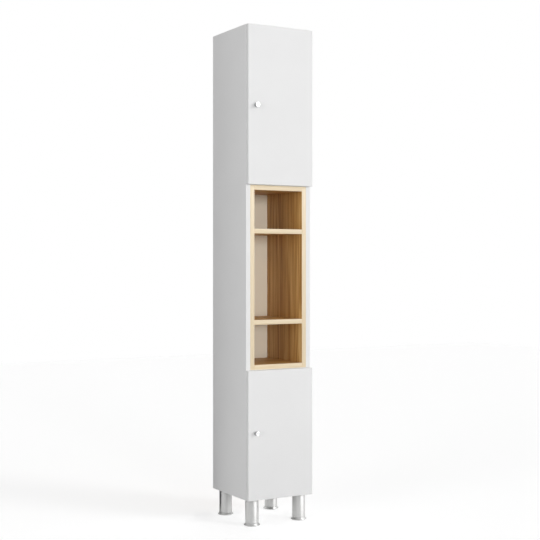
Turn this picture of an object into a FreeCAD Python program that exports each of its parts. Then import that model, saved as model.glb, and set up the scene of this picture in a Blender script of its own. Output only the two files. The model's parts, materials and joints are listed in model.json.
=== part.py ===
import FreeCAD, Part
import math
import os

# Tall, narrow bathroom cabinet on four round legs. Two doors, with three open niches between them.
# Millimetres. The origin is on the floor, at the centre of the overall box.
# +X is the hinge side, +Y points to the wall and +Z is up.

# Boards and cupboards
cabinetWidth = 280.0
carcassDepth = 274.0
boardThickness = 18.0
boardEdgeRound = 0.5
legHeight = 100.0
lowerCupboardHeight = 451.0
lowerNicheHeight = 150.5
middleNicheHeight = 325.0
upperNicheHeight = 145.5
upperCupboardHeight = 564.0
backThickness = 3.0
backRebateWidth = 9.0

# Loose shelves on pins
shelfSideClearance = 0.5
shelfSetback = 14.0
shelfBackClearance = 1.0
lowerShelfRise = 216.0
upperShelfRise = 273.0
shelfPinRadius = 2.5
shelfPinGrip = 9.0
shelfPinReach = 8.0
shelfPinFrontInset = 50.0
shelfPinBackInset = 40.0
shelfHoleSpacing = 32.0

# Doors
doorThickness = 16.0
doorGap = 2.0
doorOuterReveal = 0.5
doorNicheReveal = 1.5
doorEdgeRound = 1.0
bumperRadius = 4.0
bumperThickness = 1.9
bumperInset = 9.0

# Knobs
knobRadius = 8.5
knobNeckRadius = 6.0
knobNeckLength = 4.0
knobProjection = 18.0
knobEdgeRound = 0.9
knobInset = 31.0
knobRise = {"lower": 251.5, "upper": 295.5}
knobScrewRadius = 2.0
knobScrewGrip = 9.0
knobScrewHeadRadius = 4.0
knobScrewHeadHeight = 2.2
knobScrewSlotWidth = 1.0

# Cup hinges with one pin each
hingeEndInset = 90.0
hingePinInset = 6.0
hingePinDepth = 8.5
hingePinRadius = 1.25
hingePinClearance = 0.05
cupRadius = 17.5
cupDepth = 12.5
cupEdgeInset = 2.5
cupWall = 1.0
cupFloor = 0.7
cupCheekThickness = 2.7
cupCheekLength = 9.0
cupFlangeThickness = 1.0
cupFlangeHalfHeight = 28.0
cupFlangeRound = 3.0
cupScrewSpacing = 48.0
cupScrewOffset = 6.0
armThickness = 2.5
armFingerWidth = 7.0
armSideClearance = 0.3
armEyeWall = 1.1
armFingerReach = 12.5
armRise = 9.5
armSlope = 9.0
armWebThickness = 1.5
armWebStandoff = 12.5
armChannelHeight = 14.0
armChannelDepth = 8.5
armFlangeThickness = 1.2
armChannelLength = 52.0
plateThickness = 2.0
plateScrewLine = 37.0
plateScrewSpacing = 32.0
plateLength = 26.0
plateWingMargin = 8.0
plateRailHeight = 10.6
plateRailLength = 40.0

# Screws, cams and dowels
screwFit = 0.05
smallScrewRadius = 1.75
smallScrewHeadRadius = 3.6
smallScrewHeadHeight = 1.0
smallScrewGrip = 12.0
smallScrewRecess = 0.5
smallScrewSlotWidth = 0.9
boardScrewRadius = 2.0
boardScrewHeadRadius = 4.0
boardScrewHeadHeight = 2.4
boardScrewLength = 30.0
boardScrewInset = 45.0
camRadius = 7.5
camHeight = 12.0
camPocketSpare = 0.5
camReach = 24.0
camFrontInset = 60.0
camBackInset = 75.0
camSlotLength = 8.0
camSlotWidth = 1.4
camSlotDepth = 1.6
boltThreadRadius = 2.5
boltThreadLength = 11.0
boltNeckRadius = 2.0
boltHeadRadius = 3.2
boltHeadLength = 3.0
boltBoreRadius = 3.4
dowelRadius = 4.0
dowelLength = 35.0
dowelSideGrip = 12.0
nailRadius = 0.7
nailLength = 16.0
nailHeadRadius = 1.6
nailHeadHeight = 0.8
nailSideInset = 4.5
nailEndInset = 30.0
nailCount = 12

# Legs with levelling feet
legRadius = 25.0
legWall = 1.5
legSideInset = 37.5
legFrontInset = 23.0
legBackInset = 35.5
legPlateThickness = 5.0
legPlateFit = 0.05
legScrewCircleRadius = 14.0
legScrewCount = 3
legScrewHeadSink = 2.4
footRadius = 31.0
footBaseRadius = 26.0
footRingWidth = 6.0
footRimLift = 3.0
footRim = 2.2
footRimRound = 0.8
footShoulderHeight = 5.0
footShoulderStep = 0.8
footHubRadius = 9.0
footHubHeight = 13.0
footRecess = 1.2
footGap = 0.3
footTravel = 12.0
spindleRadius = 5.0
spindleLength = 62.0
spindleSocketDepth = 7.0
spindleFit = 0.05
spindleKeyWidth = 5.0
spindleKeyDepth = 4.0
insertLength = 20.0
insertStart = 14.0

# Angle bracket for the wall screw
bracketWidth = 30.0
bracketLeg = 24.0
bracketThickness = 2.0
wallHoleRadius = 3.0
wallHoleDrop = 14.0
bracketScrewSpacing = 16.0
bracketScrewInset = 14.0

# Places that follow from the sizes above
halfWidth = cabinetWidth / 2
innerHalf = halfWidth - boardThickness
linerHalf = innerHalf - boardThickness
overallDepth = carcassDepth + doorGap + doorThickness + knobProjection
wallY = overallDepth / 2
boardBackY = wallY - backThickness
carcassFrontY = wallY - carcassDepth
doorBackY = carcassFrontY - doorGap
doorFrontY = doorBackY - doorThickness
bottomZ = legHeight
bottomTopZ = bottomZ + boardThickness
lowerFixedZ = bottomTopZ + lowerCupboardHeight
nicheZ = lowerFixedZ + boardThickness
lowerNicheZ = nicheZ + boardThickness
lowerNicheShelfZ = lowerNicheZ + lowerNicheHeight
middleNicheZ = lowerNicheShelfZ + boardThickness
upperNicheShelfZ = middleNicheZ + middleNicheHeight
upperNicheZ = upperNicheShelfZ + boardThickness
nicheTopLinerZ = upperNicheZ + upperNicheHeight
upperFixedZ = nicheTopLinerZ + boardThickness
upperCupboardZ = upperFixedZ + boardThickness
topPanelZ = upperCupboardZ + upperCupboardHeight
topZ = topPanelZ + boardThickness
lowerShelfZ = bottomTopZ + lowerShelfRise
upperShelfZ = upperCupboardZ + upperShelfRise
camFrontY = carcassFrontY + camFrontInset
camBackY = boardBackY - camBackInset
dowelY = (camFrontY + camBackY) / 2
boardScrewYs = (carcassFrontY + boardScrewInset, boardBackY - boardScrewInset)
doorEdgeX = halfWidth - doorOuterReveal
hingePinX = doorEdgeX - hingePinInset
hingePinY = doorBackY - hingePinDepth
cupX = doorEdgeX - cupEdgeInset - cupRadius
cupScrewX = cupX - cupScrewOffset
slotHalf = armFingerWidth / 2 + armSideClearance
eyeRadius = hingePinRadius + hingePinClearance + armEyeWall
hingePinHalf = slotHalf + cupCheekThickness
webX = innerHalf - armWebStandoff
plateScrewY = carcassFrontY + plateScrewLine
legXs = {"left": -halfWidth + legSideInset, "right": halfWidth - legSideInset}
legYs = {"front": carcassFrontY + legFrontInset, "back": wallY - legBackInset}
footTopZ = footRimLift + footRim + footShoulderHeight
legBottomZ = footTopZ + footGap
doorSpans = {
    "lower": (bottomZ + doorOuterReveal, nicheZ - doorNicheReveal),
    "upper": (upperFixedZ + doorNicheReveal, topZ - doorOuterReveal),
}


def vec(x, y, z):
    return FreeCAD.Vector(x, y, z)


def block(xs, ys, zs):
    """A box between pairs of limits along X, Y and Z."""
    return Part.makeBox(xs[1] - xs[0], ys[1] - ys[0], zs[1] - zs[0], vec(xs[0], ys[0], zs[0]))


def rod(start, direction, radius, length):
    """A round bar that starts at a point and runs along a direction."""
    return Part.makeCylinder(radius, length, vec(*start), vec(*direction))


def along(start, direction, distance):
    """The point a distance along a direction."""
    return tuple(s + d * distance for s, d in zip(start, direction))


def joined(shapes):
    """One solid from touching shapes."""
    return shapes[0].multiFuse(shapes[1:]).removeSplitter()


def cutFrom(shape, tools):
    """A shape with a list of cutters taken away."""
    if not tools:
        return shape
    return shape.cut(Part.makeCompound(tools))


def roundedFront(shape, y, radius):
    """Round the edges of a board that lie in its front plane."""
    edges = []
    for edge in shape.Edges:
        if all(abs(vertex.Point.y - y) < 1e-6 for vertex in edge.Vertexes):
            edges.append(edge)
    return shape.makeFillet(radius, edges)


def save(name, shapes):
    """Write one sub-part, as one solid or as a group of separate solids."""
    group = shapes if isinstance(shapes, list) else [shapes]
    shape = group[0] if len(group) == 1 else Part.makeCompound(group)
    shape.exportStep(os.path.join("parts", name + ".step"))


# Screws. A seat is the point under the head, and the direction points into the board.
def headedScrew(seat, direction, radius, length, headRadius, headHeight, recess, slotWidth):
    """A flat-headed screw with a straight driver slot in its head."""
    back = tuple(-d for d in direction)
    top = along(seat, back, headHeight)
    head = rod(seat, back, headRadius, headHeight)
    shank = rod(seat, direction, radius, length)
    slotPoint = vec(*along(top, direction, recess))
    slot = Part.makeBox(headRadius * 3, slotWidth, recess * 2, vec(-headRadius * 1.5, -slotWidth / 2, 0))
    slot.Placement = FreeCAD.Placement(slotPoint, FreeCAD.Rotation(vec(0, 0, 1), vec(*back))) * slot.Placement
    return joined([head, shank]).cut(slot)


def smallScrew(seat, direction, length):
    return headedScrew(
        seat, direction, smallScrewRadius, length,
        smallScrewHeadRadius, smallScrewHeadHeight, smallScrewRecess, smallScrewSlotWidth,
    )


def smallScrewHole(seat, direction, depth):
    return rod(seat, direction, smallScrewRadius + screwFit, depth)


def boardScrew(seat, direction):
    """A countersunk screw whose head sits flush with the face that holds the seat."""
    tip = along(seat, direction, boardScrewHeadHeight)
    cone = Part.makeCone(
        boardScrewHeadRadius, boardScrewRadius, boardScrewHeadHeight, vec(*seat), vec(*direction)
    )
    shank = rod(tip, direction, boardScrewRadius, boardScrewLength - boardScrewHeadHeight)
    slot = rod(seat, direction, boardScrewRadius / 2, boardScrewHeadHeight / 2)
    return joined([cone, shank]).cut(slot)


def boardScrewHole(seat, direction):
    tip = along(seat, direction, boardScrewHeadHeight)
    cone = Part.makeCone(
        boardScrewHeadRadius, boardScrewRadius + screwFit, boardScrewHeadHeight, vec(*seat), vec(*direction)
    )
    shank = rod(tip, direction, boardScrewRadius + screwFit, boardScrewLength - boardScrewHeadHeight)
    return joined([cone, shank])


# Cam joints. Each fixed board is held to each side panel by two cams and one dowel.
def camBoards():
    """For each board: its underside height, and whether its cams enter from below (1) or above (-1)."""
    return {
        "bottom_panel": (bottomZ, 1),
        "lower_fixed_shelf": (lowerFixedZ, -1),
        "upper_fixed_shelf": (upperFixedZ, 1),
        "top_panel": (topPanelZ, 1),
    }


def camPlaces(boardZ, upward):
    """The face centre of each cam of one board, with the side (-1 left, 1 right) that it pulls."""
    faceZ = boardZ if upward > 0 else boardZ + boardThickness
    places = []
    for side in (-1, 1):
        for y in (camFrontY, camBackY):
            places.append((side, side * (innerHalf - camReach), y, faceZ))
    return places


def boltSteps(side, camX, y, z, spare):
    """The thread, neck and head of one cam bolt, each grown by the spare."""
    outward = (side, 0, 0)
    thread = rod((side * innerHalf, y, z), outward, boltThreadRadius + spare, boltThreadLength)
    neckLength = camReach - boltHeadLength
    neck = rod((camX + side * boltHeadLength, y, z), outward, boltNeckRadius + spare, neckLength)
    head = rod((camX, y, z), outward, boltHeadRadius + spare, boltHeadLength)
    return thread, neck, head


def camLock(side, x, y, faceZ, upward):
    midZ = faceZ + upward * boardThickness / 2
    body = rod((x, y, faceZ), (0, 0, upward), camRadius, camHeight)
    thread, neck, head = boltSteps(side, x, y, midZ, screwFit)
    headRoom = rod((x, y, midZ), (side, 0, 0), boltHeadRadius + screwFit, boltHeadLength)
    slots = []
    for half in ((camSlotLength / 2, camSlotWidth / 2), (camSlotWidth / 2, camSlotLength / 2)):
        zs = sorted((faceZ, faceZ + upward * camSlotDepth))
        slots.append(block((x - half[0], x + half[0]), (y - half[1], y + half[1]), zs))
    return cutFrom(body, [neck, headRoom] + slots)


def camBolt(side, x, y, faceZ, upward):
    return joined(list(boltSteps(side, x, y, faceZ + upward * boardThickness / 2, 0)))


def camBoardCutters(boardZ, upward):
    """Cam pockets, bolt bores and dowel holes in one fixed board."""
    cutters = []
    for side, x, y, faceZ in camPlaces(boardZ, upward):
        pocketDepth = camHeight + camPocketSpare
        cutters.append(rod((x, y, faceZ), (0, 0, upward), camRadius + screwFit, pocketDepth))
        cutters.append(rod((x, y, boardZ + boardThickness / 2), (side, 0, 0), boltBoreRadius, camReach))
    for side in (-1, 1):
        start = (side * innerHalf, dowelY, boardZ + boardThickness / 2)
        cutters.append(rod(start, (-side, 0, 0), dowelRadius + screwFit, dowelLength - dowelSideGrip))
    return cutters


def sidePanelCutters(side):
    """The rebate for the back, and every hole that the fittings need in one side panel."""
    inner = side * innerHalf
    outward = (side, 0, 0)
    rebateXs = sorted((inner, side * (innerHalf + backRebateWidth)))
    cutters = [block(rebateXs, (boardBackY, wallY), (bottomZ, topZ))]
    for boardZ, upward in camBoards().values():
        z = boardZ + boardThickness / 2
        for y in (camFrontY, camBackY):
            cutters.append(rod((inner, y, z), outward, boltThreadRadius + screwFit, boltThreadLength))
        cutters.append(rod((inner, dowelY, z), outward, dowelRadius + screwFit, dowelSideGrip))
    for z, used in shelfHoleHeights():
        for y in shelfPinYs():
            cutters.append(rod((inner, y, z), outward, shelfPinRadius + screwFit, shelfPinGrip))
    for seat, direction in backNailPlaces(side):
        cutters.append(rod(seat, direction, nailRadius + screwFit, nailLength))
    if side > 0:
        for hingeZ in allHingeZs():
            for z in plateScrewZs(hingeZ):
                seat = (innerHalf, plateScrewY, z)
                cutters.append(smallScrewHole(seat, outward, smallScrewGrip))
    return cutters


def sidePanel(side):
    xs = sorted((side * innerHalf, side * halfWidth))
    board = block(xs, (carcassFrontY, wallY), (bottomZ, topZ))
    return cutFrom(roundedFront(board, carcassFrontY, boardEdgeRound), sidePanelCutters(side))


def fixedBoard(name):
    """One of the four boards between the side panels."""
    boardZ, upward = camBoards()[name]
    zs = (boardZ, boardZ + boardThickness)
    board = block((-innerHalf, innerHalf), (carcassFrontY, boardBackY), zs)
    cutters = camBoardCutters(boardZ, upward)
    if name == "bottom_panel":
        for seat in legScrewSeats():
            foot = (seat[0], seat[1], bottomZ)
            cutters.append(smallScrewHole(foot, (0, 0, 1), smallScrewGrip))
    if name == "top_panel":
        for x in bracketScrewOffsets():
            seat = (x, boardBackY - bracketScrewInset, topPanelZ)
            cutters.append(smallScrewHole(seat, (0, 0, 1), smallScrewGrip))
    for seat, direction in nicheFixingScrews():
        cutters.append(boardScrewHole(seat, direction))
    return cutFrom(roundedFront(board, carcassFrontY, boardEdgeRound), cutters)


# Back panel and its nails
def backNailPlaces(side):
    """Nails along one side edge: the point where each leaves the back panel, pointing forwards."""
    step = (topZ - bottomZ - 2 * nailEndInset) / (nailCount - 1)
    x = side * (innerHalf + nailSideInset)
    return [((x, boardBackY, bottomZ + nailEndInset + step * i), (0, -1, 0)) for i in range(nailCount)]


def backNail(seat, direction):
    headBase = along(seat, direction, nailHeadHeight - backThickness)
    head = rod(headBase, tuple(-d for d in direction), nailHeadRadius, nailHeadHeight)
    shank = rod(headBase, direction, nailRadius, backThickness - nailHeadHeight + nailLength)
    return joined([head, shank])


def backPanel():
    half = innerHalf + backRebateWidth
    board = block((-half, half), (boardBackY, wallY), (bottomZ, topZ))
    cutters = [rod((0, boardBackY, wallHoleZ()), (0, 1, 0), wallHoleRadius, backThickness)]
    for side in (-1, 1):
        for seat, direction in backNailPlaces(side):
            cutters.append(rod(seat, (0, 1, 0), nailRadius + screwFit, backThickness))
            head = (seat[0], wallY, seat[2])
            cutters.append(rod(head, (0, -1, 0), nailHeadRadius + screwFit, nailHeadHeight))
    return cutFrom(board, cutters)


# Niche box: two uprights with four boards between them
def nicheBoards():
    return {
        "niche_bottom_liner": nicheZ,
        "niche_lower_shelf": lowerNicheShelfZ,
        "niche_upper_shelf": upperNicheShelfZ,
        "niche_top_liner": nicheTopLinerZ,
    }


def nicheBoxScrews():
    """Screws through the uprights into the ends of the niche boards."""
    places = []
    for side in (-1, 1):
        for boardZ in nicheBoards().values():
            for y in boardScrewYs:
                places.append(((side * innerHalf, y, boardZ + boardThickness / 2), (-side, 0, 0)))
    return places


def nicheFixingScrews():
    """Screws from the cupboards through the fixed shelves into the niche box."""
    places = []
    for x in (-linerHalf / 2, linerHalf / 2):
        for y in boardScrewYs:
            places.append(((x, y, lowerFixedZ), (0, 0, 1)))
            places.append(((x, y, upperCupboardZ), (0, 0, -1)))
    return places


def nicheUpright(side):
    xs = sorted((side * linerHalf, side * innerHalf))
    board = block(xs, (carcassFrontY, boardBackY), (nicheZ, upperFixedZ))
    cutters = [boardScrewHole(seat, direction) for seat, direction in nicheBoxScrews()]
    return cutFrom(roundedFront(board, carcassFrontY, boardEdgeRound), cutters)


def nicheBoard(boardZ):
    board = block((-linerHalf, linerHalf), (carcassFrontY, boardBackY), (boardZ, boardZ + boardThickness))
    places = nicheBoxScrews() + nicheFixingScrews()
    cutters = [boardScrewHole(seat, direction) for seat, direction in places]
    return cutFrom(roundedFront(board, carcassFrontY, boardEdgeRound), cutters)


# Loose shelves and their pins
def shelfPinYs():
    return (carcassFrontY + shelfPinFrontInset, boardBackY - shelfPinBackInset)


def shelfHoleHeights():
    """Each pin hole height, and whether a pin is in it."""
    heights = []
    for shelfZ in (lowerShelfZ, upperShelfZ):
        for step in (-1, 0, 1):
            heights.append((shelfZ - shelfPinRadius + step * shelfHoleSpacing, step == 0))
    return heights


def shelfPins():
    pins = []
    for z, used in shelfHoleHeights():
        if not used:
            continue
        for side in (-1, 1):
            for y in shelfPinYs():
                start = (side * (innerHalf + shelfPinGrip), y, z)
                pins.append(rod(start, (-side, 0, 0), shelfPinRadius, shelfPinGrip + shelfPinReach))
    return pins


def looseShelf(shelfZ):
    half = innerHalf - shelfSideClearance
    ys = (carcassFrontY + shelfSetback, boardBackY - shelfBackClearance)
    board = block((-half, half), ys, (shelfZ, shelfZ + boardThickness))
    return roundedFront(board, ys[0], boardEdgeRound)


# Doors, with their cup pockets, bumpers and knobs
def hingeZs(door):
    low, high = doorSpans[door]
    return {"bottom": low + hingeEndInset, "top": high - hingeEndInset}


def allHingeZs():
    return [z for door in doorSpans for z in hingeZs(door).values()]


def knobPlace(door):
    return -doorEdgeX + knobInset, doorSpans[door][0] + knobRise[door]


def cupScrewZs(hingeZ):
    return (hingeZ - cupScrewSpacing / 2, hingeZ + cupScrewSpacing / 2)


def doorSlab(door):
    low, high = doorSpans[door]
    slab = block((-doorEdgeX, doorEdgeX), (doorFrontY, doorBackY), (low, high))
    slab = slab.makeFillet(doorEdgeRound, slab.Edges)
    knobX, knobZ = knobPlace(door)
    cutters = [rod((knobX, doorFrontY, knobZ), (0, 1, 0), knobScrewRadius + screwFit, doorThickness)]
    for hingeZ in hingeZs(door).values():
        cutters.append(rod((cupX, doorBackY, hingeZ), (0, -1, 0), cupRadius + screwFit, cupDepth))
        for z in cupScrewZs(hingeZ):
            cutters.append(smallScrewHole((cupScrewX, doorBackY, z), (0, -1, 0), smallScrewGrip))
    return cutFrom(slab, cutters)


def doorBumpers(door):
    low, high = doorSpans[door]
    x = -doorEdgeX + bumperInset
    zs = (low + bumperInset, high - bumperInset)
    return [rod((x, doorBackY, z), (0, 1, 0), bumperRadius, bumperThickness) for z in zs]


def turned(profile, centre, axis):
    """Turn a half outline of (radius, distance) points about an axis through the centre."""
    points = [vec(r, 0, d) for r, d in profile]
    face = Part.Face(Part.makePolygon(points + [points[0]]))
    solid = face.revolve(vec(0, 0, 0), vec(0, 0, 1), 360)
    turn = FreeCAD.Rotation(vec(0, 0, 1), vec(*axis))
    solid.Placement = FreeCAD.Placement(vec(*centre), turn)
    return solid


def roundEdgesAt(shape, axis, distances, origin, radius):
    """Round the circular edges that lie at given distances along an axis from an origin."""
    edges = []
    for edge in shape.Edges:
        if edge.Curve.TypeId != "Part::GeomCircle":
            continue
        offset = edge.Curve.Center.sub(vec(*origin)).dot(vec(*axis))
        if any(abs(offset - d) < 1e-6 for d in distances):
            edges.append(edge)
    return shape.makeFillet(radius, edges)


def knob(door):
    x, z = knobPlace(door)
    neck = knobNeckLength
    profile = [
        (0, 0), (knobNeckRadius, 0), (knobNeckRadius, neck),
        (knobRadius, neck), (knobRadius, knobProjection), (0, knobProjection),
    ]
    origin = (x, doorFrontY, z)
    body = turned(profile, origin, (0, -1, 0))
    body = roundEdgesAt(body, (0, -1, 0), (knobProjection,), origin, knobEdgeRound)
    return body.cut(rod(origin, (0, -1, 0), knobScrewRadius + screwFit, knobScrewGrip))


def knobScrew(door):
    x, z = knobPlace(door)
    return headedScrew(
        (x, doorBackY, z), (0, -1, 0), knobScrewRadius, doorThickness + knobScrewGrip,
        knobScrewHeadRadius, knobScrewHeadHeight, knobScrewHeadHeight / 2, knobScrewSlotWidth,
    )


# Hinges
def hingeCup(hingeZ):
    """The die-cast cup with its flange, and two cheeks that hold the pin."""
    zs = (hingeZ - cupFlangeHalfHeight, hingeZ + cupFlangeHalfHeight)
    xs = (cupX - cupRadius, cupX + cupRadius)
    flange = block(xs, (doorBackY, doorBackY + cupFlangeThickness), zs)
    corners = [e for e in flange.Edges if abs(e.tangentAt(e.FirstParameter).y) > 0.5]
    flange = flange.makeFillet(cupFlangeRound, corners)
    shell = rod((cupX, doorBackY, hingeZ), (0, -1, 0), cupRadius, cupDepth)
    hollowDepth = cupDepth - cupFloor
    rimY = doorBackY + cupFlangeThickness
    hollow = rod((cupX, rimY, hingeZ), (0, -1, 0), cupRadius - cupWall, cupFlangeThickness + hollowDepth)
    body = joined([flange, shell]).cut(hollow)
    cheekXs = (hingePinX - cupCheekLength / 2, cupX + cupRadius - cupWall / 2)
    floorY = doorBackY - hollowDepth
    parts = [body]
    for side in (-1, 1):
        cheekZs = sorted((hingeZ + side * slotHalf, hingeZ + side * hingePinHalf))
        cheek = block(cheekXs, (floorY - cupFloor / 2, doorBackY), cheekZs)
        parts.append(cheek.common(shell))
    body = joined(parts)
    slotEnd = hingePinX + eyeRadius + armSideClearance
    slot = block((hingePinX, slotEnd), (floorY, rimY), (hingeZ - slotHalf, hingeZ + slotHalf))
    pinHole = rod((hingePinX, hingePinY, hingeZ - hingePinHalf), (0, 0, 1), hingePinRadius, 2 * hingePinHalf)
    cutters = [slot, pinHole]
    for z in cupScrewZs(hingeZ):
        cutters.append(smallScrewHole((cupScrewX, doorBackY, z), (0, 1, 0), cupFlangeThickness))
    return cutFrom(body, cutters)


def hingePin(hingeZ):
    return rod((hingePinX, hingePinY, hingeZ - hingePinHalf), (0, 0, 1), hingePinRadius, 2 * hingePinHalf)


def armSegment(start, end, width, hingeZ):
    """A straight stretch of the arm between two points seen from above, with round ends."""
    length = math.hypot(end[0] - start[0], end[1] - start[1])
    angle = math.degrees(math.atan2(end[1] - start[1], end[0] - start[0]))
    half = armThickness / 2
    bar = Part.makeBox(length, armThickness, width, vec(0, -half, -width / 2))
    caps = [Part.makeCylinder(half, width, vec(d, 0, -width / 2)) for d in (0, length)]
    shape = joined([bar] + caps)
    shape.Placement = FreeCAD.Placement(
        vec(start[0], start[1], hingeZ), FreeCAD.Rotation(vec(0, 0, 1), angle)
    )
    return shape


def hingeArm(hingeZ):
    """The finger around the pin, its bend out of the cup, and the channel on the plate."""
    pin = (hingePinX, hingePinY)
    elbow = (hingePinX - armFingerReach, hingePinY)
    knee = (elbow[0] - armSlope, elbow[1] + armRise)
    webMidX = webX - armWebThickness / 2
    channelStart = carcassFrontY + armThickness * 2
    heel = (webMidX, channelStart + armThickness / 2)
    parts = [
        Part.makeCylinder(eyeRadius, armFingerWidth, vec(pin[0], pin[1], hingeZ - armFingerWidth / 2)),
        armSegment(pin, elbow, armFingerWidth, hingeZ),
        armSegment(elbow, knee, armFingerWidth, hingeZ),
        armSegment(knee, heel, armFingerWidth, hingeZ),
    ]
    channelYs = (channelStart, channelStart + armChannelLength)
    half = armChannelHeight / 2
    webXs = (webX - armWebThickness, webX)
    parts.append(block(webXs, channelYs, (hingeZ - half, hingeZ + half)))
    for side in (-1, 1):
        zs = sorted((hingeZ + side * half, hingeZ + side * (half - armFlangeThickness)))
        parts.append(block((webX - armWebThickness, webX + armChannelDepth), channelYs, zs))
    bore = rod((pin[0], pin[1], hingeZ - armFingerWidth), (0, 0, 1),
               hingePinRadius + hingePinClearance, armFingerWidth * 2)
    return joined(parts).cut(bore)


def plateScrewZs(hingeZ):
    return (hingeZ - plateScrewSpacing / 2, hingeZ + plateScrewSpacing / 2)


def hingePlate(hingeZ):
    """The mounting plate on the side panel, with the rail that the arm clips over."""
    wing = plateScrewSpacing / 2 + plateWingMargin
    ys = (plateScrewY - plateLength / 2, plateScrewY + plateLength / 2)
    base = block((innerHalf - plateThickness, innerHalf), ys, (hingeZ - wing, hingeZ + wing))
    railYs = (plateScrewY - plateRailLength / 2, plateScrewY + plateRailLength / 2)
    half = plateRailHeight / 2
    rail = block((webX, innerHalf), railYs, (hingeZ - half, hingeZ + half))
    holes = []
    for z in plateScrewZs(hingeZ):
        holes.append(smallScrewHole((innerHalf - plateThickness, plateScrewY, z), (1, 0, 0), plateThickness))
    return cutFrom(joined([base, rail]), holes)


# Legs
def legPlaces():
    return {row + "_" + side: (x, y) for row, y in legYs.items() for side, x in legXs.items()}


def legScrewSeats():
    """The centre of each leg screw, seen from below."""
    seats = []
    for x, y in legPlaces().values():
        for i in range(legScrewCount):
            angle = math.radians(360.0 / legScrewCount * i + 90)
            dx = legScrewCircleRadius * math.cos(angle)
            dy = legScrewCircleRadius * math.sin(angle)
            seats.append((x + dx, y + dy, bottomZ - legPlateThickness))
    return seats


def legTube(x, y):
    length = legHeight - legBottomZ
    outer = rod((x, y, legBottomZ), (0, 0, 1), legRadius, length)
    return outer.cut(rod((x, y, legBottomZ), (0, 0, 1), legRadius - legWall, length))


def legPlate(x, y):
    """The round plate inside the top of the tube."""
    radius = legRadius - legWall - legPlateFit
    plate = rod((x, y, bottomZ - legPlateThickness), (0, 0, 1), radius, legPlateThickness)
    holes = []
    for seat in legScrewSeats():
        holes.append(rod(seat, (0, 0, 1), smallScrewRadius + screwFit, legPlateThickness))
        holes.append(rod(seat, (0, 0, 1), smallScrewHeadRadius + screwFit, legScrewHeadSink))
    return cutFrom(plate, holes)


def legScrew(seat):
    lifted = along(seat, (0, 0, 1), legScrewHeadSink)
    length = legPlateThickness - legScrewHeadSink + smallScrewGrip
    return smallScrew(lifted, (0, 0, 1), length)


def legInsert(x, y):
    """The threaded plug in the lower end of the tube."""
    start = (x, y, legBottomZ + insertStart)
    plug = rod(start, (0, 0, 1), legRadius - legWall, insertLength)
    return plug.cut(rod(start, (0, 0, 1), spindleRadius + spindleFit, insertLength))


def legFoot(x, y):
    """The wide foot: a base ring, a flared rim, a sloping shoulder and a hub with a socket."""
    hubTop = footRecess + footHubHeight
    ringRadius = footBaseRadius - footRingWidth
    rimTop = footRimLift + footRim
    profile = [
        (0, footRecess), (ringRadius, footRecess), (ringRadius, 0), (footBaseRadius, 0),
        (footRadius, footRimLift), (footRadius, rimTop), (legRadius + footShoulderStep, footTopZ),
        (footHubRadius, footTopZ), (footHubRadius, hubTop), (0, hubTop),
    ]
    body = turned(profile, (x, y, 0), (0, 0, 1))
    body = roundEdgesAt(body, (0, 0, 1), (footRimLift, rimTop), (x, y, 0), footRimRound)
    socketBase = (x, y, hubTop - spindleSocketDepth)
    return body.cut(rod(socketBase, (0, 0, 1), spindleRadius + spindleFit, spindleSocketDepth))


def legSpindle(x, y):
    """The threaded spindle, with a hexagonal driver recess in its upper end."""
    startZ = footRecess + footHubHeight - spindleSocketDepth + spindleFit
    spindle = rod((x, y, startZ), (0, 0, 1), spindleRadius, spindleLength)
    corners = []
    for i in range(7):
        angle = math.radians(60.0 * i)
        reach = spindleKeyWidth / 2 / math.cos(math.radians(30))
        corners.append(vec(x + reach * math.cos(angle), y + reach * math.sin(angle), startZ + spindleLength))
    key = Part.Face(Part.makePolygon(corners)).extrude(vec(0, 0, -spindleKeyDepth))
    return spindle.cut(key)


# Wall bracket
def wallHoleZ():
    return topPanelZ - wallHoleDrop


def bracketScrewOffsets():
    return (-bracketScrewSpacing / 2, bracketScrewSpacing / 2)


def wallBracket():
    """An angle under the top panel and against the back, with a hole for the wall screw."""
    xs = (-bracketWidth / 2, bracketWidth / 2)
    upright = block(xs, (boardBackY - bracketThickness, boardBackY), (topPanelZ - bracketLeg, topPanelZ))
    flat = block(xs, (boardBackY - bracketLeg, boardBackY), (topPanelZ - bracketThickness, topPanelZ))
    holeStart = (0, boardBackY - bracketThickness, wallHoleZ())
    cutters = [rod(holeStart, (0, 1, 0), wallHoleRadius, bracketThickness)]
    for x in bracketScrewOffsets():
        seat = (x, boardBackY - bracketScrewInset, topPanelZ - bracketThickness)
        cutters.append(smallScrewHole(seat, (0, 0, 1), bracketThickness))
    return cutFrom(joined([upright, flat]), cutters)


def bracketScrews():
    seats = [(x, boardBackY - bracketScrewInset, topPanelZ - bracketThickness) for x in bracketScrewOffsets()]
    return [smallScrew(seat, (0, 0, 1), bracketThickness + smallScrewGrip) for seat in seats]


# Write every sub-part
def saveCarcass():
    save("left_side_panel", sidePanel(-1))
    save("right_side_panel", sidePanel(1))
    for name in camBoards():
        save(name, fixedBoard(name))
    save("back_panel", backPanel())
    save("niche_left_liner", nicheUpright(-1))
    save("niche_right_liner", nicheUpright(1))
    for name, boardZ in nicheBoards().items():
        save(name, nicheBoard(boardZ))
    save("lower_cupboard_shelf", looseShelf(lowerShelfZ))
    save("upper_cupboard_shelf", looseShelf(upperShelfZ))
    save("shelf_pins", shelfPins())


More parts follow.
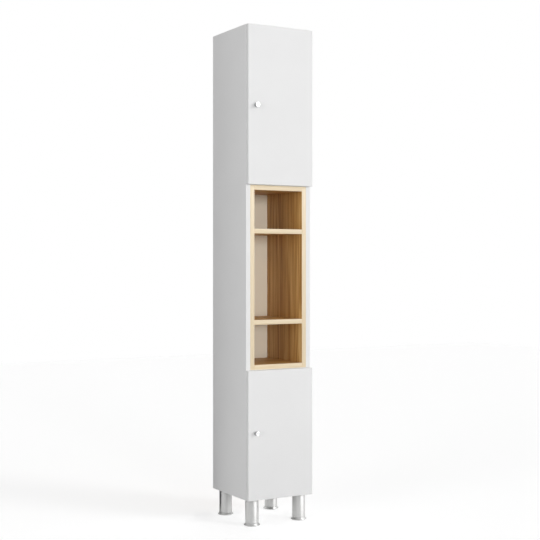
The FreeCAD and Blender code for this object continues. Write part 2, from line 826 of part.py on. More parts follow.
def saveFasteners():
    locks = []
    bolts = []
    dowels = []
    for boardZ, upward in camBoards().values():
        for side, x, y, faceZ in camPlaces(boardZ, upward):
            locks.append(camLock(side, x, y, faceZ, upward))
            bolts.append(camBolt(side, x, y, faceZ, upward))
        for side in (-1, 1):
            start = (side * (innerHalf + dowelSideGrip), dowelY, boardZ + boardThickness / 2)
            dowels.append(rod(start, (-side, 0, 0), dowelRadius, dowelLength))
    save("cam_locks", locks)
    save("cam_bolts", bolts)
    save("wood_dowels", dowels)
    save("niche_screws", [boardScrew(seat, way) for seat, way in nicheBoxScrews() + nicheFixingScrews()])
    save("back_panel_nails", [backNail(seat, way) for side in (-1, 1) for seat, way in backNailPlaces(side)])
    save("wall_bracket", wallBracket())
    save("wall_bracket_screws", bracketScrews())


def saveDoors():
    for door in doorSpans:
        save(door + "_door", doorSlab(door))
        save(door + "_knob", knob(door))
        save(door + "_knob_screw", knobScrew(door))
        save(door + "_door_bumpers", doorBumpers(door))
        cupScrews = []
        pins = []
        for end, hingeZ in hingeZs(door).items():
            save(door + "_door_" + end + "_hinge_cup", hingeCup(hingeZ))
            save(door + "_door_" + end + "_hinge_arm", hingeArm(hingeZ))
            pins.append(hingePin(hingeZ))
            for z in cupScrewZs(hingeZ):
                seat = (cupScrewX, doorBackY + cupFlangeThickness, z)
                length = cupFlangeThickness + smallScrewGrip
                cupScrews.append(smallScrew(seat, (0, -1, 0), length))
        save(door + "_hinge_pins", pins)
        save(door + "_hinge_cup_screws", cupScrews)
    save("hinge_mounting_plates", [hingePlate(z) for z in allHingeZs()])
    plateScrews = []
    for hingeZ in allHingeZs():
        for z in plateScrewZs(hingeZ):
            seat = (innerHalf - plateThickness, plateScrewY, z)
            plateScrews.append(smallScrew(seat, (1, 0, 0), plateThickness + smallScrewGrip))
    save("hinge_plate_screws", plateScrews)


def saveLegs():
    for name, (x, y) in legPlaces().items():
        save(name + "_leg_tube", legTube(x, y))
        save(name + "_leg_foot", legFoot(x, y))
        save(name + "_leg_spindle", legSpindle(x, y))
    save("leg_mounting_plates", [legPlate(x, y) for x, y in legPlaces().values()])
    save("leg_threaded_inserts", [legInsert(x, y) for x, y in legPlaces().values()])
    save("leg_screws", [legScrew(seat) for seat in legScrewSeats()])


os.makedirs("parts", exist_ok=True)
saveCarcass()
saveFasteners()
saveDoors()
saveLegs()
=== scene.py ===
import bpy
import bmesh
import json
import math
from mathutils import Matrix, Vector


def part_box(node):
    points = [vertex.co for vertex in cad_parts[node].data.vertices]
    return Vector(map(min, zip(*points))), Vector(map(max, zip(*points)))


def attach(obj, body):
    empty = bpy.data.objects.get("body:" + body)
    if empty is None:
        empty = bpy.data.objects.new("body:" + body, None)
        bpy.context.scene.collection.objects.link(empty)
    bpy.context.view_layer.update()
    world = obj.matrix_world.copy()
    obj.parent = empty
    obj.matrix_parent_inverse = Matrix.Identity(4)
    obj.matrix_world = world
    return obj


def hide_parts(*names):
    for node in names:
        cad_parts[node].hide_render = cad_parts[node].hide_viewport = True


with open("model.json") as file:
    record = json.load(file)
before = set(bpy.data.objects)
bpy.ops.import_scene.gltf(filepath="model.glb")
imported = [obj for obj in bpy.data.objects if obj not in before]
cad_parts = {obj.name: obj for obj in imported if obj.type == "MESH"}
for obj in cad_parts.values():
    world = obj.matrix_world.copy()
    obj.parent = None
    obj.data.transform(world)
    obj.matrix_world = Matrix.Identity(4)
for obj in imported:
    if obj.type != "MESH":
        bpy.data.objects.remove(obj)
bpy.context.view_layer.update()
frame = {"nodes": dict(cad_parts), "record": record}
nodes = frame["nodes"]
record = frame["record"]
bodyOf = {node: body for body, names in record["behaviour"]["bodies"].items() for node in names}
slotOf = {part["node"]: part["material_slot"] for part in record["subparts"]}
mm = 0.001
tiny = 0.000001  # vertices nearer than this are taken as one place
noiseSpan = (0.3, 0.7)  # nearly all of a noise pattern's values lie between these
colourSpan = (0.35, 0.65)  # the part of them that a pair of colours is spread over
print("frame loaded with", len(nodes), "nodes")


# Small helpers for colours and materials

def linearColour(hexText):
    channels = []  # from the sRGB curve to linear light
    for start in (1, 3, 5):
        value = int(hexText[start:start + 2], 16) / 255
        channels.append(value / 12.92 if value <= 0.04045 else ((value + 0.055) / 1.055) ** 2.4)
    return (*channels, 1.0)


def repeats(size):
    return 1 / (size * mm)  # the scale of a pattern whose detail is this many millimetres wide


def addNode(tree, kind, settings=None, links=None):
    node = tree.nodes.new(kind)
    for name, value in (settings or {}).items():
        if name == "stops":
            elements = node.color_ramp.elements
            while len(elements) < len(value):
                elements.new(0.5)
            for element, (position, hexText) in zip(elements, value):
                element.position = position
                element.color = linearColour(hexText)
        elif isinstance(name, int) or name in node.inputs:
            node.inputs[name].default_value = value
        else:
            setattr(node, name, value)
    for name, source in (links or {}).items():
        socket = source if isinstance(source, bpy.types.NodeSocket) else source.outputs[0]
        tree.links.new(socket, node.inputs[name])
    return node


def newMaterial(name, settings):
    material = bpy.data.materials.new(name)
    material.use_nodes = True
    tree = material.node_tree
    shader = tree.nodes["Principled BSDF"]
    for socket, value in settings.items():
        shader.inputs[socket].default_value = value
    place = addNode(tree, "ShaderNodeTexCoord")
    return material, tree, shader, place


def textureSurface(tree, shader, grain, rough=None, depth=0.0):
    # a pattern moves the gloss between two roughnesses and raises a relief, in millimetres
    if rough:
        start, end = noiseSpan
        limits = {"From Min": start, "From Max": end, "To Min": rough[0], "To Max": rough[1]}
        spread = addNode(tree, "ShaderNodeMapRange", limits, {"Value": grain})
        tree.links.new(spread.outputs[0], shader.inputs["Roughness"])
    if depth:
        relief = addNode(tree, "ShaderNodeBump", {"Distance": depth * mm}, {"Height": grain})
        tree.links.new(relief.outputs[0], shader.inputs["Normal"])


# Melamine-faced chipboard: white decor paper pressed in resin. It looks satin and very even,
# with a fine pearl texture, a hairline where the edge band meets the face, and chips on sawn edges.

melamine = {
    "colour": "#EFEFEF",
    "shade": "#EDEDED",
    "cloud": 180.0,
    "joint": "#D2D1CE",
    "bandThickness": 1.0,
    "jointWidth": 0.12,
    "roughness": 0.6,
    "smoother": 0.04,
    "rougher": 0.05,
    "ior": 1.5,
    "pearl": 1.1,
    "pearlDepth": 0.012,
    "sawnDepth": 2.0,
    "sawnFacing": (0.9, 0.95),
    "chip": 1.8,
    "chipFlatness": 0.4,
    "chips": ("#A07E56", "#BD9C70", "#CFB48B"),
    "chipStops": (0.2, 0.5, 0.8),
}


def bandJoints():
    # where the 1 mm edge bands end: across the doors and along the front of the carcass
    inset = melamine["bandThickness"] * mm
    joints = [("Y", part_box("left_side_panel")[0].y + inset)]
    for door in ("lower_door", "upper_door"):
        low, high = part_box(door)
        joints += [("Z", low.z + inset), ("Z", high.z - inset)]
    return joints + [("X", low.x + inset), ("X", high.x - inset)]


def whiteMelamine():
    s = melamine
    settings = {"Roughness": s["roughness"], "IOR": s["ior"]}
    material, tree, shader, place = newMaterial("white melamine board", settings)
    spot = place.outputs["Object"]
    axes = addNode(tree, "ShaderNodeSeparateXYZ", links={0: spot})
    facing = addNode(tree, "ShaderNodeSeparateXYZ", links={0: place.outputs["Normal"]})

    # the white, with the hairlines of its edge bands
    settings = {"Scale": repeats(s["cloud"]), "Detail": 2}
    cloud = addNode(tree, "ShaderNodeTexNoise", settings, {"Vector": spot})
    stops = tuple(zip(colourSpan, (s["shade"], s["colour"])))
    white = addNode(tree, "ShaderNodeValToRGB", {"stops": stops}, {"Fac": cloud})
    joint = None
    for axis, position in bandJoints():
        settings = {"operation": "COMPARE", 1: position, 2: s["jointWidth"] * mm / 2}
        line = addNode(tree, "ShaderNodeMath", settings, {0: axes.outputs[axis]})
        if joint is not None:
            line = addNode(tree, "ShaderNodeMath", {"operation": "MAXIMUM"}, {0: joint, 1: line})
        joint = line
    settings = {"data_type": "RGBA", 7: linearColour(s["joint"])}
    banded = addNode(tree, "ShaderNodeMix", settings, {0: joint, 6: white})

    # the rear edges of the side panels are sawn and unbanded, and face straight back
    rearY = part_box("left_side_panel")[1].y
    limits = {"From Min": rearY - s["sawnDepth"] * mm, "From Max": rearY - s["sawnDepth"] / 2 * mm}
    rear = addNode(tree, "ShaderNodeMapRange", limits, {"Value": axes.outputs["Y"]})
    start, end = s["sawnFacing"]
    limits = {"From Min": start, "From Max": end}
    backward = addNode(tree, "ShaderNodeMapRange", limits, {"Value": facing.outputs["Y"]})
    sawn = addNode(tree, "ShaderNodeMath", {"operation": "MULTIPLY"}, {0: rear, 1: backward})
    settings = {"Scale": (1, 1, s["chipFlatness"])}
    flat = addNode(tree, "ShaderNodeMapping", settings, {"Vector": spot})
    flakes = addNode(tree, "ShaderNodeTexVoronoi", {"Scale": repeats(s["chip"])}, {"Vector": flat})
    stops = tuple(zip(s["chipStops"], s["chips"]))
    chip = addNode(tree, "ShaderNodeValToRGB", {"stops": stops}, {"Fac": flakes.outputs["Color"]})
    sources = {0: sawn, 6: banded.outputs[2], 7: chip}
    colour = addNode(tree, "ShaderNodeMix", {"data_type": "RGBA"}, sources)
    tree.links.new(colour.outputs[2], shader.inputs["Base Color"])

    settings = {"Scale": repeats(s["pearl"]), "Detail": 2}
    pearl = addNode(tree, "ShaderNodeTexNoise", settings, {"Vector": spot})
    rough = (s["roughness"] - s["smoother"], s["roughness"] + s["rougher"])
    textureSurface(tree, shader, pearl, rough, s["pearlDepth"])
    return material


# Oak decor board: printed paper with a straight grain and pressed pores. It gives warm streaks.

oak = {
    "colours": ("#A2733D", "#BE9255", "#D6B076"),
    "stops": (0.38, 0.5, 0.62),
    # width and length in millimetres, detail and swirl of the streaks, the rings and the pores
    "grain": ((7.0, 260.0, 5, 0.4), (24.0, 520.0, 2, 1.2), (0.55, 9.0, 1, 0.0)),
    "pore": "#8A6136",
    "poreSpan": (0.62, 0.72),
    "poreShare": 0.55,
    "pressedSpan": (0.6, 0.75),
    "poreDepth": 0.05,
    "roughness": 0.5,
    "smoother": 0.05,
    "rougher": 0.06,
    "ior": 1.5,
}


def grainScale(axis, across, length):
    scale = [repeats(across)] * 3
    scale["XYZ".index(axis)] = repeats(length)
    return scale


def oakDecor(axis):
    s = oak
    name = "oak decor board, grain along " + axis
    settings = {"Roughness": s["roughness"], "IOR": s["ior"]}
    material, tree, shader, place = newMaterial(name, settings)
    layers = []
    for across, length, detail, swirl in s["grain"]:
        settings = {"Scale": grainScale(axis, across, length)}
        sized = addNode(tree, "ShaderNodeMapping", settings, {"Vector": place.outputs["Object"]})
        settings = {"Scale": 1, "Detail": detail, "Distortion": swirl}
        layers.append(addNode(tree, "ShaderNodeTexNoise", settings, {"Vector": sized}))
    streaks, rings, fine = layers
    both = addNode(tree, "ShaderNodeMath", {"operation": "ADD"}, {0: streaks, 1: rings})
    half = addNode(tree, "ShaderNodeMath", {"operation": "MULTIPLY", 1: 0.5}, {0: both})
    stops = tuple(zip(s["stops"], s["colours"]))
    face = addNode(tree, "ShaderNodeValToRGB", {"stops": stops}, {"Fac": half})
    start, end = s["poreSpan"]
    limits = {"From Min": start, "From Max": end, "To Min": 0, "To Max": s["poreShare"]}
    pores = addNode(tree, "ShaderNodeMapRange", limits, {"Value": fine})
    settings = {"data_type": "RGBA", 7: linearColour(s["pore"])}
    colour = addNode(tree, "ShaderNodeMix", settings, {0: pores, 6: face})
    tree.links.new(colour.outputs[2], shader.inputs["Base Color"])
    rough = (s["roughness"] - s["smoother"], s["roughness"] + s["rougher"])
    textureSurface(tree, shader, streaks, rough)
    start, end = s["pressedSpan"]
    limits = {"From Min": start, "From Max": end, "To Min": 1, "To Max": 0}
    pressed = addNode(tree, "ShaderNodeMapRange", limits, {"Value": fine})
    textureSurface(tree, shader, pressed, depth=s["poreDepth"])
    return material


# ABS edge band printed to match the oak: paler than the faces, with a faint lengthwise grain

oakBand = {
    "colours": ("#E4D0AC", "#EEDDBF"), "stops": (0.35, 0.6), "streak": 1.6, "streakLength": 120.0,
    "roughness": 0.38, "ior": 1.53, "depth": 0.02,
}


def oakEdgeBand(axis):
    s = oakBand
    settings = {"Roughness": s["roughness"], "IOR": s["ior"]}
    material, tree, shader, place = newMaterial("oak ABS edge band along " + axis, settings)
    settings = {"Scale": grainScale(axis, s["streak"], s["streakLength"])}
    sized = addNode(tree, "ShaderNodeMapping", settings, {"Vector": place.outputs["Object"]})
    streaks = addNode(tree, "ShaderNodeTexNoise", {"Scale": 1, "Detail": 3}, {"Vector": sized})
    stops = tuple(zip(s["stops"], s["colours"]))
    colour = addNode(tree, "ShaderNodeValToRGB", {"stops": stops}, {"Fac": streaks})
    tree.links.new(colour.outputs[0], shader.inputs["Base Color"])
    textureSurface(tree, shader, streaks, depth=s["depth"])
    return material


# Lacquered hardboard: an off-white rolled coat on the front, bare brown fibre on the rear.

hardboard = {
    "front": "#FBF7E7", "frontFacing": (-0.4, -0.2),
    "rear": ("#8D6A47", "#A27D57"), "rearStops": (0.12, 0.36),
    "fibre": 1.4, "fibreDetail": 4, "fibreHarshness": 0.7, "cloud": 140.0,
    "roughness": 0.55, "ior": 1.48, "depth": 0.02,
}


def hardboardBack():
    s = hardboard
    settings = {"Roughness": s["roughness"], "IOR": s["ior"]}
    material, tree, shader, place = newMaterial("lacquered hardboard", settings)
    spot = place.outputs["Object"]
    facing = addNode(tree, "ShaderNodeSeparateXYZ", links={0: place.outputs["Normal"]})
    start, end = s["frontFacing"]
    limits = {"From Min": start, "From Max": end}
    rear = addNode(tree, "ShaderNodeMapRange", limits, {"Value": facing.outputs["Y"]})
    settings = {
        "Scale": repeats(s["fibre"]), "Detail": s["fibreDetail"], "Roughness": s["fibreHarshness"],
    }
    fibre = addNode(tree, "ShaderNodeTexNoise", settings, {"Vector": spot})
    settings = {"Scale": repeats(s["cloud"]), "Detail": 2}
    cloud = addNode(tree, "ShaderNodeTexNoise", settings, {"Vector": spot})
    both = addNode(tree, "ShaderNodeMath", {"operation": "MULTIPLY"}, {0: fibre, 1: cloud})
    stops = tuple(zip(s["rearStops"], s["rear"]))
    brown = addNode(tree, "ShaderNodeValToRGB", {"stops": stops}, {"Fac": both})
    settings = {"data_type": "RGBA", 6: linearColour(s["front"])}
    colour = addNode(tree, "ShaderNodeMix", settings, {0: rear, 7: brown})
    tree.links.new(colour.outputs[2], shader.inputs["Base Color"])
    textureSurface(tree, shader, fibre, depth=s["depth"])
    return material


# Plain finishes: a colour pair broken up by a fine noise, which also drives the gloss and a relief.
# Scales are in millimetres across and along the piece; roughness is the lowest and highest.

plainFinishes = {
    # drawn steel tube with a satin plating: soft streaks of light that run up the leg
    "satin plated steel": {
        "metallic": 1.0, "dark": "#C4C4C3", "light": "#CCCCCB", "rough": (0.4, 0.48),
        "scale": (2.0, 2.0, 40.0), "detail": 2, "depth": 0.004, "brushed": 0.8,
    },
    # turned brass with chrome round the knob's side: a grey mirror with a polishing haze, painted
    # dark as shade
    "polished chrome": {
        "metallic": 1.0, "dark": "#ACADAE", "light": "#B4B5B6", "rough": (0.12, 0.2),
        "scale": (4.0, 4.0, 4.0), "detail": 2, "depth": 0.0,
    },
    # the knob's end: the same chrome painted brighter than its side, a painted reflection of the
    # white studio
    "chrome brightened as painted reflection": {
        "metallic": 1.0, "dark": "#E8E9EA", "light": "#EEEFF0", "rough": (0.16, 0.24),
        "scale": (3.0, 3.0, 3.0), "detail": 2, "depth": 0.0,
    },
    # die-cast and pressed hinge metal under nickel: slightly pebbled, warm grey
    "nickel-plated zinc": {
        "metallic": 1.0, "dark": "#CFCECA", "light": "#D6D5D1", "rough": (0.28, 0.36),
        "scale": (1.2, 1.2, 1.2), "detail": 2, "depth": 0.003,
    },
    # screws, pins and bolts with blue-white zinc plating: cool grey and a little patchy
    "zinc-plated steel": {
        "metallic": 1.0, "dark": "#C4C7CA", "light": "#D0D2D4", "rough": (0.28, 0.38),
        "scale": (1.5, 1.5, 1.5), "detail": 2, "depth": 0.003,
    },
    # dowels of raw beech: matt, with short flecks along the grain
    "raw beech": {
        "metallic": 0.0, "dark": "#C59A68", "light": "#DDBB8C", "rough": (0.65, 0.75),
        "scale": (14.0, 0.8, 0.8), "detail": 3, "depth": 0.03,
    },
    # moulded nylon inserts: black with a fine tool grain
    "black nylon": {
        "metallic": 0.0, "dark": "#1E1E1F", "light": "#2A2A2B", "rough": (0.45, 0.55),
        "scale": (0.6, 0.6, 0.6), "detail": 2, "depth": 0.02,
    },
    # cast silicone door buffers: milky and slightly see-through
    "clear silicone": {
        "metallic": 0.0, "dark": "#D6DDDD", "light": "#E2E8E8", "rough": (0.2, 0.32),
        "scale": (2.0, 2.0, 2.0), "detail": 2, "depth": 0.0, "clear": 0.6, "ior": 1.41,
    },
}


def plainFinish(name):
    s = plainFinishes[name]
    material, tree, shader, place = newMaterial(name, {"Metallic": s["metallic"]})
    if "brushed" in s:
        # brushed round the tube, so that highlights run along it
        shader.inputs["Anisotropic"].default_value = s["brushed"]
        shader.inputs["Anisotropic Rotation"].default_value = 0.25  # a quarter turn
    if "clear" in s:
        shader.inputs["Transmission Weight"].default_value = s["clear"]
        shader.inputs["IOR"].default_value = s["ior"]
    settings = {"Scale": [repeats(size) for size in s["scale"]]}
    sized = addNode(tree, "ShaderNodeMapping", settings, {"Vector": place.outputs["Object"]})
    settings = {"Scale": 1, "Detail": s["detail"]}
    grain = addNode(tree, "ShaderNodeTexNoise", settings, {"Vector": sized})
    stops = tuple(zip(colourSpan, (s["dark"], s["light"])))
    colour = addNode(tree, "ShaderNodeValToRGB", {"stops": stops}, {"Fac": grain})
    tree.links.new(colour.outputs[0], shader.inputs["Base Color"])
    textureSurface(tree, shader, grain, s["rough"], s["depth"])
    return material


oakUpright = oakDecor("Z")
oakAcross = oakDecor("X")
oakBandUpright = oakEdgeBand("Z")
oakBandAcross = oakEdgeBand("X")
# the knob's end gets its chrome painted brighter, as a painted reflection
knobEndPaintedReflection = plainFinish("chrome brightened as painted reflection")
slotMaterials = {
    "white_board": whiteMelamine(),
    "oak_board": oakAcross,
    "back_board": hardboardBack(),
    "beech": plainFinish("raw beech"),
    "zinc": plainFinish("nickel-plated zinc"),
    "steel": plainFinish("zinc-plated steel"),
    "polished": plainFinish("polished chrome"),
    "leg_metal": plainFinish("satin plated steel"),
    "leg_plastic": plainFinish("black nylon"),
    "bumper": plainFinish("clear silicone"),
}
for node, slot in slotOf.items():
    slots = nodes[node].data.materials
    slots.clear()
    slots.append(slotMaterials[slot])
print("materials made and the carried-over pieces dressed")


# New pieces: angles in degrees, the small face in square millimetres

shading = {"flatBelow": 0.5, "curvedBelow": 20.0, "sharpAbove": 32.0, "smallFace": 2.0}


def shadeFaces(mesh):
    # faces round a curve meet at a slight angle and are shaded smooth, as tiny ones are
    slight, steep = math.radians(shading["flatBelow"]), math.radians(shading["curvedBelow"])
    curved = set()
    for edge in mesh.edges:
        if edge.is_manifold and slight < edge.calc_face_angle() < steep:
            curved.update(edge.link_faces)
    for face in mesh.faces:
        face.smooth = face in curved or face.calc_area() < shading["smallFace"] * mm * mm


def finishPiece(mesh, name, replaced, materials=None):
    # a new piece takes its body and its finish from the node that it stands for
    bmesh.ops.recalc_face_normals(mesh, faces=mesh.faces)
    shadeFaces(mesh)
    data = bpy.data.meshes.new(name)
    mesh.to_mesh(data)
    mesh.free()
    for material in materials or [slotMaterials[slotOf[replaced]]]:
        data.materials.append(material)
    data.set_sharp_from_angle(angle=math.radians(shading["sharpAbove"]))
    piece = bpy.data.objects.new(name, data)
    bpy.context.scene.collection.objects.link(piece)
    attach(piece, bodyOf[replaced])
    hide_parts(replaced)


def roundEdges(mesh, edges, width, segments=3):
    bmesh.ops.bevel(
        mesh, geom=edges, offset=width * mm, segments=segments,
        profile=0.5, affect="EDGES", material=-1,
    )


# Niche boards: oak decor faces with a separate pale band on the front edge

nicheBoards = {
    "edgeRound": 0.6,
    "upright": ("niche_left_liner", "niche_right_liner"),
    "level": ("niche_top_liner", "niche_bottom_liner", "niche_upper_shelf", "niche_lower_shelf"),
}


def nicheBoard(node, faceMaterial, bandMaterial):
    low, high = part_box(node)
    mesh = bmesh.new()
    bmesh.ops.create_cube(mesh, size=1.0)
    bmesh.ops.scale(mesh, vec=high - low, verts=mesh.verts)
    bmesh.ops.translate(mesh, vec=(low + high) / 2, verts=mesh.verts)
    front = [e for e in mesh.edges if all(abs(v.co.y - low.y) < tiny for v in e.verts)]
    roundEdges(mesh, front, nicheBoards["edgeRound"])
    for face in mesh.faces:
        if face.calc_center_median().y < low.y + nicheBoards["edgeRound"] * mm:
            face.material_index = 1
    finishPiece(mesh, node + "_board", node, [faceMaterial, bandMaterial])


for node in nicheBoards["upright"]:
    nicheBoard(node, oakUpright, oakBandUpright)
for node in nicheBoards["level"]:
    nicheBoard(node, oakAcross, oakBandAcross)
print("niche boards made")


# Turned pieces: a half outline of (radius, height) points is spun, then its rings are rounded.
# A round is given as the ring's radius, its height and the width to round.

def ringAt(mesh, radius, height):
    on = {v for v in mesh.verts if abs(v.co.z - height * mm) < tiny
          and abs(v.co.xy.length - radius * mm) < tiny}
    return [edge for edge in mesh.edges if all(v in on for v in edge.verts)]


def turnedMesh(outline, steps, rounds=()):
    mesh = bmesh.new()
    verts = [mesh.verts.new((radius * mm, 0, height * mm)) for radius, height in outline]
    edges = [mesh.edges.new(pair) for pair in zip(verts, verts[1:])]
    bmesh.ops.spin(
        mesh, geom=verts + edges, cent=(0, 0, 0), axis=(0, 0, 1),
        angle=math.tau, steps=steps, use_merge=True,
    )
    bmesh.ops.remove_doubles(mesh, verts=mesh.verts, dist=tiny)
    for radius, height, width in rounds:
        roundEdges(mesh, ringAt(mesh, radius, height), width)
    return mesh


def standOn(mesh, node):
    # from the middle of the scene to the node's own axis and lowest level
    low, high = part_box(node)
    centre = (low + high) / 2
    bmesh.ops.translate(mesh, vec=(centre.x, centre.y, low.z), verts=mesh.verts)


def nodeHeight(node):
    low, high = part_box(node)
    return (high.z - low.z) / mm


# a turned knob on a short neck, with a shallow dish inside its rim
knobShape = {
    "radius": 8.5, "neck": 6.0, "neckLength": 4.0, "length": 18.0,
    "rim": 2.0, "dishSlope": 2.0, "dish": 0.3,
    "neckRound": 0.5, "backRound": 0.6, "frontRound": 1.0, "steps": 72,
}


def turnedKnob(door):
    s = knobShape
    knob = door + "_knob"
    radius, neck, back, front = s["radius"], s["neck"], s["neckLength"], s["length"]
    inRim, dishFloor = radius - s["rim"], front - s["dish"]
    outline = [
        (0, 0), (neck, 0), (neck, back), (radius, back), (radius, front),
        (inRim, front), (inRim - s["dishSlope"], dishFloor), (0, dishFloor),
    ]
    rounds = [
        (neck, back, s["neckRound"]), (radius, back, s["backRound"]),
        (radius, front, s["frontRound"]),
    ]
    mesh = turnedMesh(outline, s["steps"], rounds)
    low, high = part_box(knob)
    centre = (low + high) / 2
    outward = Matrix.Rotation(math.radians(90), 4, "X")  # the knob's length points along -Y
    placed = Matrix.Translation((centre.x, high.y, centre.z)) @ outward
    bmesh.ops.transform(mesh, matrix=placed, verts=mesh.verts)
    # the end faces take the chrome painted brighter as a reflection, the side the chrome painted
    # dark as shade
    for face in mesh.faces:
        if face.calc_center_median().y < low.y + s["frontRound"] / 2 * mm:
            face.material_index = 1
    materials = [slotMaterials[slotOf[knob]], knobEndPaintedReflection]
    finishPiece(mesh, door + "_turned_knob", knob, materials)


for door in ("upper", "lower"):
    turnedKnob(door)
print("knobs made")


# a drawn tube with softened ends
legShape = {"radius": 25.0, "wall": 1.5, "lip": 0.5, "steps": 96}
# a pressed foot, from the middle of its underside
footShape = {
    "outline": (
        (0, 1.2), (20.0, 1.2), (20.0, 0), (26.0, 0),  # recess and flat ring underneath
        (28.2, 0.5), (29.9, 1.5), (31.0, 3.0), (31.0, 5.2),  # curved rim
        (29.0, 5.9), (27.3, 7.0), (26.3, 8.4), (25.8, 10.2),  # sweep up to the collar
        (9.0, 10.2), (9.0, 14.2), (5.05, 14.2), (5.05, 7.2), (0, 7.2),  # hub with its socket
    ),
    "rounds": ((20.0, 0, 0.4), (31.0, 5.2, 0.7), (25.8, 10.2, 0.3)),
    "steps": 96,
}
# a spindle with a ring for each turn of its thread
spindleShape = {"radius": 5.0, "root": 4.3, "pitch": 1.5, "end": 0.8, "steps": 32}


def legTube(place):
    s = legShape
    node = place + "_leg_tube"
    length = nodeHeight(node)
    outer, inner = s["radius"], s["radius"] - s["wall"]
    outline = [(inner, 0), (outer, 0), (outer, length), (inner, length), (inner, 0)]
    rounds = [(outer, 0, s["lip"]), (outer, length, s["lip"])]
    mesh = turnedMesh(outline, s["steps"], rounds)
    standOn(mesh, node)
    finishPiece(mesh, node + "_drawn", node)


def legFoot(place):
    s = footShape
    node = place + "_leg_foot"
    mesh = turnedMesh(s["outline"], s["steps"], s["rounds"])
    standOn(mesh, node)
    finishPiece(mesh, node + "_pressed", node)


def legSpindle(place):
    s = spindleShape
    node = place + "_leg_spindle"
    length = nodeHeight(node)
    outline = [(0, 0), (s["root"], 0)]
    turns = int((length - 2 * s["end"]) / s["pitch"])
    for turn in range(turns):
        start = s["end"] + turn * s["pitch"]
        outline += [(s["root"], start), (s["radius"], start + s["pitch"] / 2)]
    outline += [(s["root"], length - s["end"]), (s["root"], length), (0, length)]
    mesh = turnedMesh(outline, s["steps"])
    standOn(mesh, node)
    finishPiece(mesh, node + "_threaded", node)


for row in ("front", "back"):
    for side in ("left", "right"):
        legTube(row + "_" + side)
        legFoot(row + "_" + side)
        legSpindle(row + "_" + side)
print("legs made")


# Metal fittings keep their shape, merged into clean faces with softened edges

fittings = {
    "sameFaceBelow": 1.0,
    "sharpAbove": 40.0,
    "segments": 2,
    # the end of a node's name and the width that its edges are rounded to
    "rounds": {
        "_hinge_cup": 0.35, "_hinge_arm": 0.35, "hinge_mounting_plates": 0.4,
        "wall_bracket": 0.4, "shelf_pins": 0.5, "cam_locks": 0.3,
    },
}


def softenedFitting(node, width):
    s = fittings
    mesh = bmesh.new()
    mesh.from_mesh(nodes[node].data)
    bmesh.ops.remove_doubles(mesh, verts=mesh.verts, dist=2 * tiny)
    bmesh.ops.dissolve_limit(
        mesh, angle_limit=math.radians(s["sameFaceBelow"]), verts=mesh.verts, edges=mesh.edges
    )
    steep = math.radians(s["sharpAbove"])
    sharp = [edge for edge in mesh.edges if edge.is_manifold and edge.calc_face_angle() > steep]
    roundEdges(mesh, sharp, width, s["segments"])
    finishPiece(mesh, node + "_soft_edged", node)


for ending, width in fittings["rounds"].items():
    for node in list(nodes):
        if node.endswith(ending):
            softenedFitting(node, width)
print("fittings softened")


# Floor, lights and camera: sizes in metres

studio = {
    "floorSize": 14.0,
    "floorColour": "#F6F6F6",
    "floorLift": 0.58,
    "worldStrength": 0.26,
    "lampDistance": 4.0,
    "lamps": {
        # strength, azimuth and elevation seen from the cabinet, softness, and what the lamp does
        "key": (0.63, 35.0, 18.0, 18.0, "lights shades shines"),
        "fill": (1.0, -8.0, 3.0, 14.0, "lights shades"),
        "side": (1.21, -72.0, 4.0, 40.0, "lights shades"),
        "back": (0.5, 170.0, 20.0, 60.0, "lights"),
        "rim": (2.5, 46.0, 0.0, 95.0, "shades shines"),
    },
    "wingColour": "#303030",
    "wingRoughness": 0.9,
    "wingTopWidth": 0.56,
    "wingFootWidth": 0.08,
    "wingHeight": 2.7,
    "wingGap": 0.002,
}


def backdropRays(tree):
    # the rays that see the white backdrop: the camera's own, and those in metal and glass
    rays = addNode(tree, "ShaderNodeLightPath")
    seen = rays.outputs["Is Camera Ray"]
    for name in ("Is Glossy Ray", "Is Transmission Ray"):
        sources = {0: seen, 1: rays.outputs[name]}
        seen = addNode(tree, "ShaderNodeMath", {"operation": "MAXIMUM"}, sources)
    return seen


def stagePiece(mesh, name, material):
    data = bpy.data.meshes.new(name)
    mesh.to_mesh(data)
    mesh.free()
    data.materials.append(material)
    piece = bpy.data.objects.new(name, data)
    bpy.context.scene.collection.objects.link(piece)
    return piece


def paleFloor():
    mesh = bmesh.new()
    bmesh.ops.create_grid(mesh, x_segments=1, y_segments=1, size=studio["floorSize"] / 2)
    material = bpy.data.materials.new("white studio paper")
    material.use_nodes = True
    tree = material.node_tree
    tree.nodes.clear()
    settings = {"Color": linearColour(studio["floorColour"])}
    paper = addNode(tree, "ShaderNodeBsdfDiffuse", settings)
    glow = addNode(tree, "ShaderNodeEmission", {"Strength": studio["floorLift"]})
    lifted = addNode(tree, "ShaderNodeAddShader", links={0: paper, 1: glow})
    sources = {0: backdropRays(tree), 1: paper, 2: lifted}
    mixed = addNode(tree, "ShaderNodeMixShader", links=sources)
    addNode(tree, "ShaderNodeOutputMaterial", links={"Surface": mixed})
    stagePiece(mesh, "studio_floor", material)


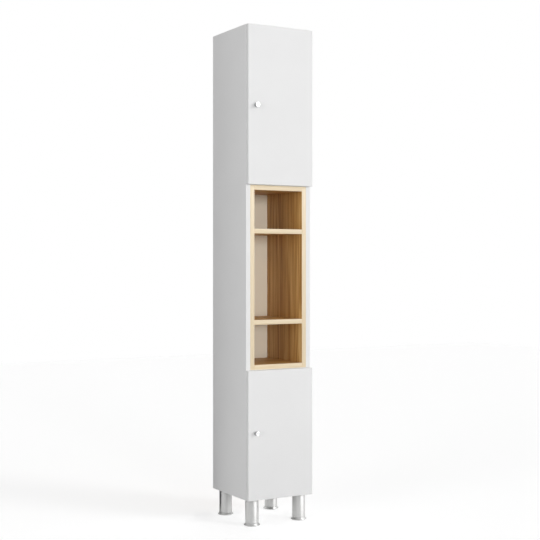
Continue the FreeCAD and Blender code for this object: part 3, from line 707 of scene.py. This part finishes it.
def greyWing():
    # a dark card behind the left side, unseen by the camera, shades it towards its rear edge
    s = studio
    low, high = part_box("left_side_panel")
    mesh = bmesh.new()
    bmesh.ops.create_grid(mesh, x_segments=1, y_segments=1, size=0.5)
    for vert in mesh.verts:
        width = s["wingTopWidth"] if vert.co.y > 0 else s["wingFootWidth"]
        vert.co = ((vert.co.x - 0.5) * width, vert.co.y * s["wingHeight"], 0)
    upright = Matrix.Rotation(math.radians(90), 3, "X")
    bmesh.ops.rotate(mesh, cent=(0, 0, 0), matrix=upright, verts=mesh.verts)
    place = (low.x - s["wingGap"], high.y + s["wingGap"], s["wingHeight"] / 2)
    bmesh.ops.translate(mesh, vec=place, verts=mesh.verts)
    material = bpy.data.materials.new("grey studio card")
    material.use_nodes = True
    shader = material.node_tree.nodes["Principled BSDF"]
    shader.inputs["Base Color"].default_value = linearColour(s["wingColour"])
    shader.inputs["Roughness"].default_value = s["wingRoughness"]
    wing = stagePiece(mesh, "studio_wing", material)
    wing.visible_camera = False
    wing.visible_shadow = False


def whiteWorld():
    white = (1, 1, 1, 1)
    world = bpy.data.worlds.new("white studio")
    world.use_nodes = True
    tree = world.node_tree
    tree.nodes.clear()
    settings = {"Color": white, "Strength": studio["worldStrength"]}
    soft = addNode(tree, "ShaderNodeBackground", settings)
    full = addNode(tree, "ShaderNodeBackground", {"Color": white, "Strength": 1.0})
    mixed = addNode(tree, "ShaderNodeMixShader", links={0: backdropRays(tree), 1: soft, 2: full})
    addNode(tree, "ShaderNodeOutputWorld", links={"Surface": mixed})
    bpy.context.scene.world = world


def studioLamp(name, strength, azimuth, elevation, softness, uses):
    lamp = bpy.data.lights.new(name, "SUN")
    lamp.energy = strength
    lamp.angle = math.radians(softness)
    lamp.use_shadow = "shades" in uses
    across, up = math.radians(azimuth), math.radians(elevation)
    level = math.cos(up)
    towards = Vector((math.sin(across) * level, -math.cos(across) * level, math.sin(up)))
    light = bpy.data.objects.new(name, lamp)
    light.rotation_mode = "QUATERNION"
    light.rotation_quaternion = towards.to_track_quat("Z", "Y")
    light.location = towards * studio["lampDistance"]
    light.visible_diffuse = "lights" in uses
    light.visible_glossy = "shines" in uses
    bpy.context.scene.collection.objects.link(light)


# The photograph's camera: level, 29.7 degrees to the left of the front, about 4.2 m away.
# Places are in millimetres; the lens and sensor are as Blender gives them.
photographView = {
    "right": -2118.3,
    "inFrontOfDoor": 3635.6,
    "aboveBody": 888.4,
    "turn": 29.667,
    "focalLength": 74.24,
    "sensor": 36.0,
    "rise": -0.01338,
    "farLimit": 60.0,
}


def photographCamera():
    s = photographView
    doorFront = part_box("upper_door")[0].y
    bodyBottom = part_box("left_side_panel")[0].z
    lens = bpy.data.cameras.new("photograph")
    lens.lens = s["focalLength"]
    lens.sensor_width = s["sensor"]
    lens.shift_y = s["rise"]
    lens.clip_end = s["farLimit"]
    camera = bpy.data.objects.new("photograph", lens)
    camera.location = (
        s["right"] * mm, doorFront - s["inFrontOfDoor"] * mm, bodyBottom + s["aboveBody"] * mm
    )
    camera.rotation_euler = (math.radians(90), 0, math.radians(-s["turn"]))
    bpy.context.scene.collection.objects.link(camera)
    bpy.context.scene.camera = camera


paleFloor()
greyWing()
whiteWorld()
for name, values in studio["lamps"].items():
    studioLamp(name, *values)
photographCamera()
bpy.context.scene.view_settings.view_transform = "Standard"
print("studio set")
